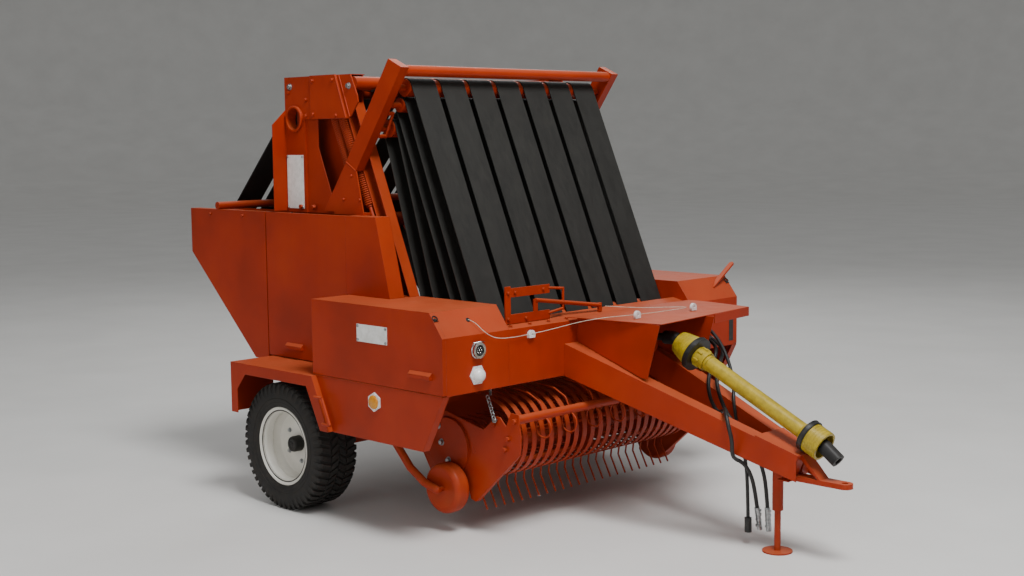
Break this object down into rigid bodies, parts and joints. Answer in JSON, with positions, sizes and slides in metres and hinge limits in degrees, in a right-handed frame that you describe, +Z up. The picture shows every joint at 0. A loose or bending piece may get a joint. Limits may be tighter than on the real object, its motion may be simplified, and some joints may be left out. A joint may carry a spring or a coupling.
{
  "type": "round baler",
  "caption": "Towed round baler with an open belt chamber, tined pickup, drive shaft, drawbar and lifting tailgate.",
  "frame": {"origin": "on the ground under the middle of the machine box", "axes": "+X forward along the drawbar, +Y to the left of the machine, +Z up"},
  "size_m": [4.0969, 2.4966, 2.47],
  "materials": {
    "body_paint": "semi-gloss",
    "rim_paint": "semi-gloss",
    "black_paint": "satin",
    "tyre_rubber": "matte",
    "belt_rubber": "matte",
    "hose_rubber": "matte",
    "zinc_steel": "satin",
    "black_plastic": "matte",
    "yellow_plastic": "semi-gloss",
    "white_plastic": "gloss",
    "amber_plastic": "gloss",
    "white_plate": "semi-gloss",
    "lamp_glass": "gloss",
    "chrome": "polished"
  },
  "bodies": {
    "chassis": {"axle": "body_paint", "belts_front": "belt_rubber", "box_lever": "body_paint", "cable_plug": "black_plastic", "cable_tail": "hose_rubber", "chamber_walls": "body_paint", "coupler_front": "zinc_steel", "coupler_loop": "zinc_steel", "drawbar": "body_paint", "drive_boxes": "body_paint", "fenders": "body_paint", "floor_drum": "body_paint", "front_beam": "body_paint", "front_covers": "body_paint", "front_lens": "lamp_glass", "front_reflectors": "white_plastic", "front_socket": "chrome", "gearbox": "body_paint", "gearbox_hood": "body_paint", "hose_fittings": "zinc_steel", "hose_front": "hose_rubber", "hose_loop": "hose_rubber", "jack_tube": "body_paint", "lower_panels": "body_paint", "pto_guard": "yellow_plastic", "pto_rings": "black_plastic", "pto_shaft": "black_paint", "roller_frame": "body_paint", "rollers_front": "body_paint", "side_lenses": "amber_plastic", "side_reflectors": "white_plastic", "sign_plate": "white_plate", "tension_tubes": "body_paint", "towers": "body_paint", "twine_arm": "body_paint", "twine_eyelets": "white_plastic"},
    "wheel_right": {"tyre_right": "tyre_rubber", "rim_right": "rim_paint", "hub_right": "black_paint"},
    "wheel_left": {"tyre_left": "tyre_rubber", "rim_left": "rim_paint", "hub_left": "black_paint"},
    "tailgate": {"tail_frame": "body_paint", "tail_covers": "body_paint", "rollers_tail": "body_paint", "belts_rear": "belt_rubber"},
    "box_door_right": {"box_door_right": "body_paint", "number_plate": "white_plate"},
    "box_door_left": {"box_door_left": "body_paint"},
    "cover_door_right": {"cover_door_right": "body_paint"},
    "cover_door_left": {"cover_door_left": "body_paint"},
    "pickup": {"pickup_frame": "body_paint", "stripper_bands": "body_paint", "gauge_arms": "body_paint", "wind_guard": "body_paint", "lift_chain": "zinc_steel"},
    "reel": {"pickup_reel": "body_paint"},
    "gauge_wheel_right": {"gauge_wheel_right": "body_paint"},
    "gauge_wheel_left": {"gauge_wheel_left": "body_paint"},
    "jack_leg": {"jack_leg": "body_paint"}
  },
  "joints": [
    {"name": "wheel_right_spin", "type": "hinge", "parent": "chassis", "child": "wheel_right", "pos_m": [-0.8445, -1.057, 0.356], "axis": [0, 1, 0], "continuous": true},
    {"name": "wheel_left_spin", "type": "hinge", "parent": "chassis", "child": "wheel_left", "pos_m": [-0.8445, 1.057, 0.356], "axis": [0, 1, 0], "continuous": true},
    {"name": "tailgate_lift", "type": "hinge", "parent": "chassis", "child": "tailgate", "pos_m": [-1.1445, 0, 2.33], "axis": [0, 1, 0], "range_deg": [0, 60]},
    {"name": "box_door_right_swing", "type": "hinge", "parent": "chassis", "child": "box_door_right", "pos_m": [-0.5258, -1.17385, 1], "axis": [0, 0, -1], "range_deg": [0, 90]},
    {"name": "box_door_left_swing", "type": "hinge", "parent": "chassis", "child": "box_door_left", "pos_m": [-0.5258, 1.17385, 1], "axis": [0, 0, 1], "range_deg": [0, 90]},
    {"name": "cover_door_right_swing", "type": "hinge", "parent": "chassis", "child": "cover_door_right", "pos_m": [-0.5355, -0.945, 1.4], "axis": [0, 0, 1], "range_deg": [0, 75]},
    {"name": "cover_door_left_swing", "type": "hinge", "parent": "chassis", "child": "cover_door_left", "pos_m": [-0.5355, 0.945, 1.4], "axis": [0, 0, -1], "range_deg": [0, 75]},
    {"name": "pickup_lift", "type": "hinge", "parent": "chassis", "child": "pickup", "pos_m": [-0.2495, 0, 0.59], "axis": [0, 1, 0], "range_deg": [-3, 8]},
    {"name": "reel_spin", "type": "hinge", "parent": "pickup", "child": "reel", "pos_m": [0.2955, 0, 0.44], "axis": [0, 1, 0], "continuous": true},
    {"name": "gauge_wheel_right_spin", "type": "hinge", "parent": "pickup", "child": "gauge_wheel_right", "pos_m": [0.1645, -0.8625, 0.235], "axis": [0, 1, 0], "continuous": true},
    {"name": "gauge_wheel_left_spin", "type": "hinge", "parent": "pickup", "child": "gauge_wheel_left", "pos_m": [0.1645, 0.8625, 0.235], "axis": [0, 1, 0], "continuous": true},
    {"name": "jack_slide", "type": "slide", "parent": "chassis", "child": "jack_leg", "axis": [0, 0, 1], "range_m": [0, 0.18]}
  ]
}
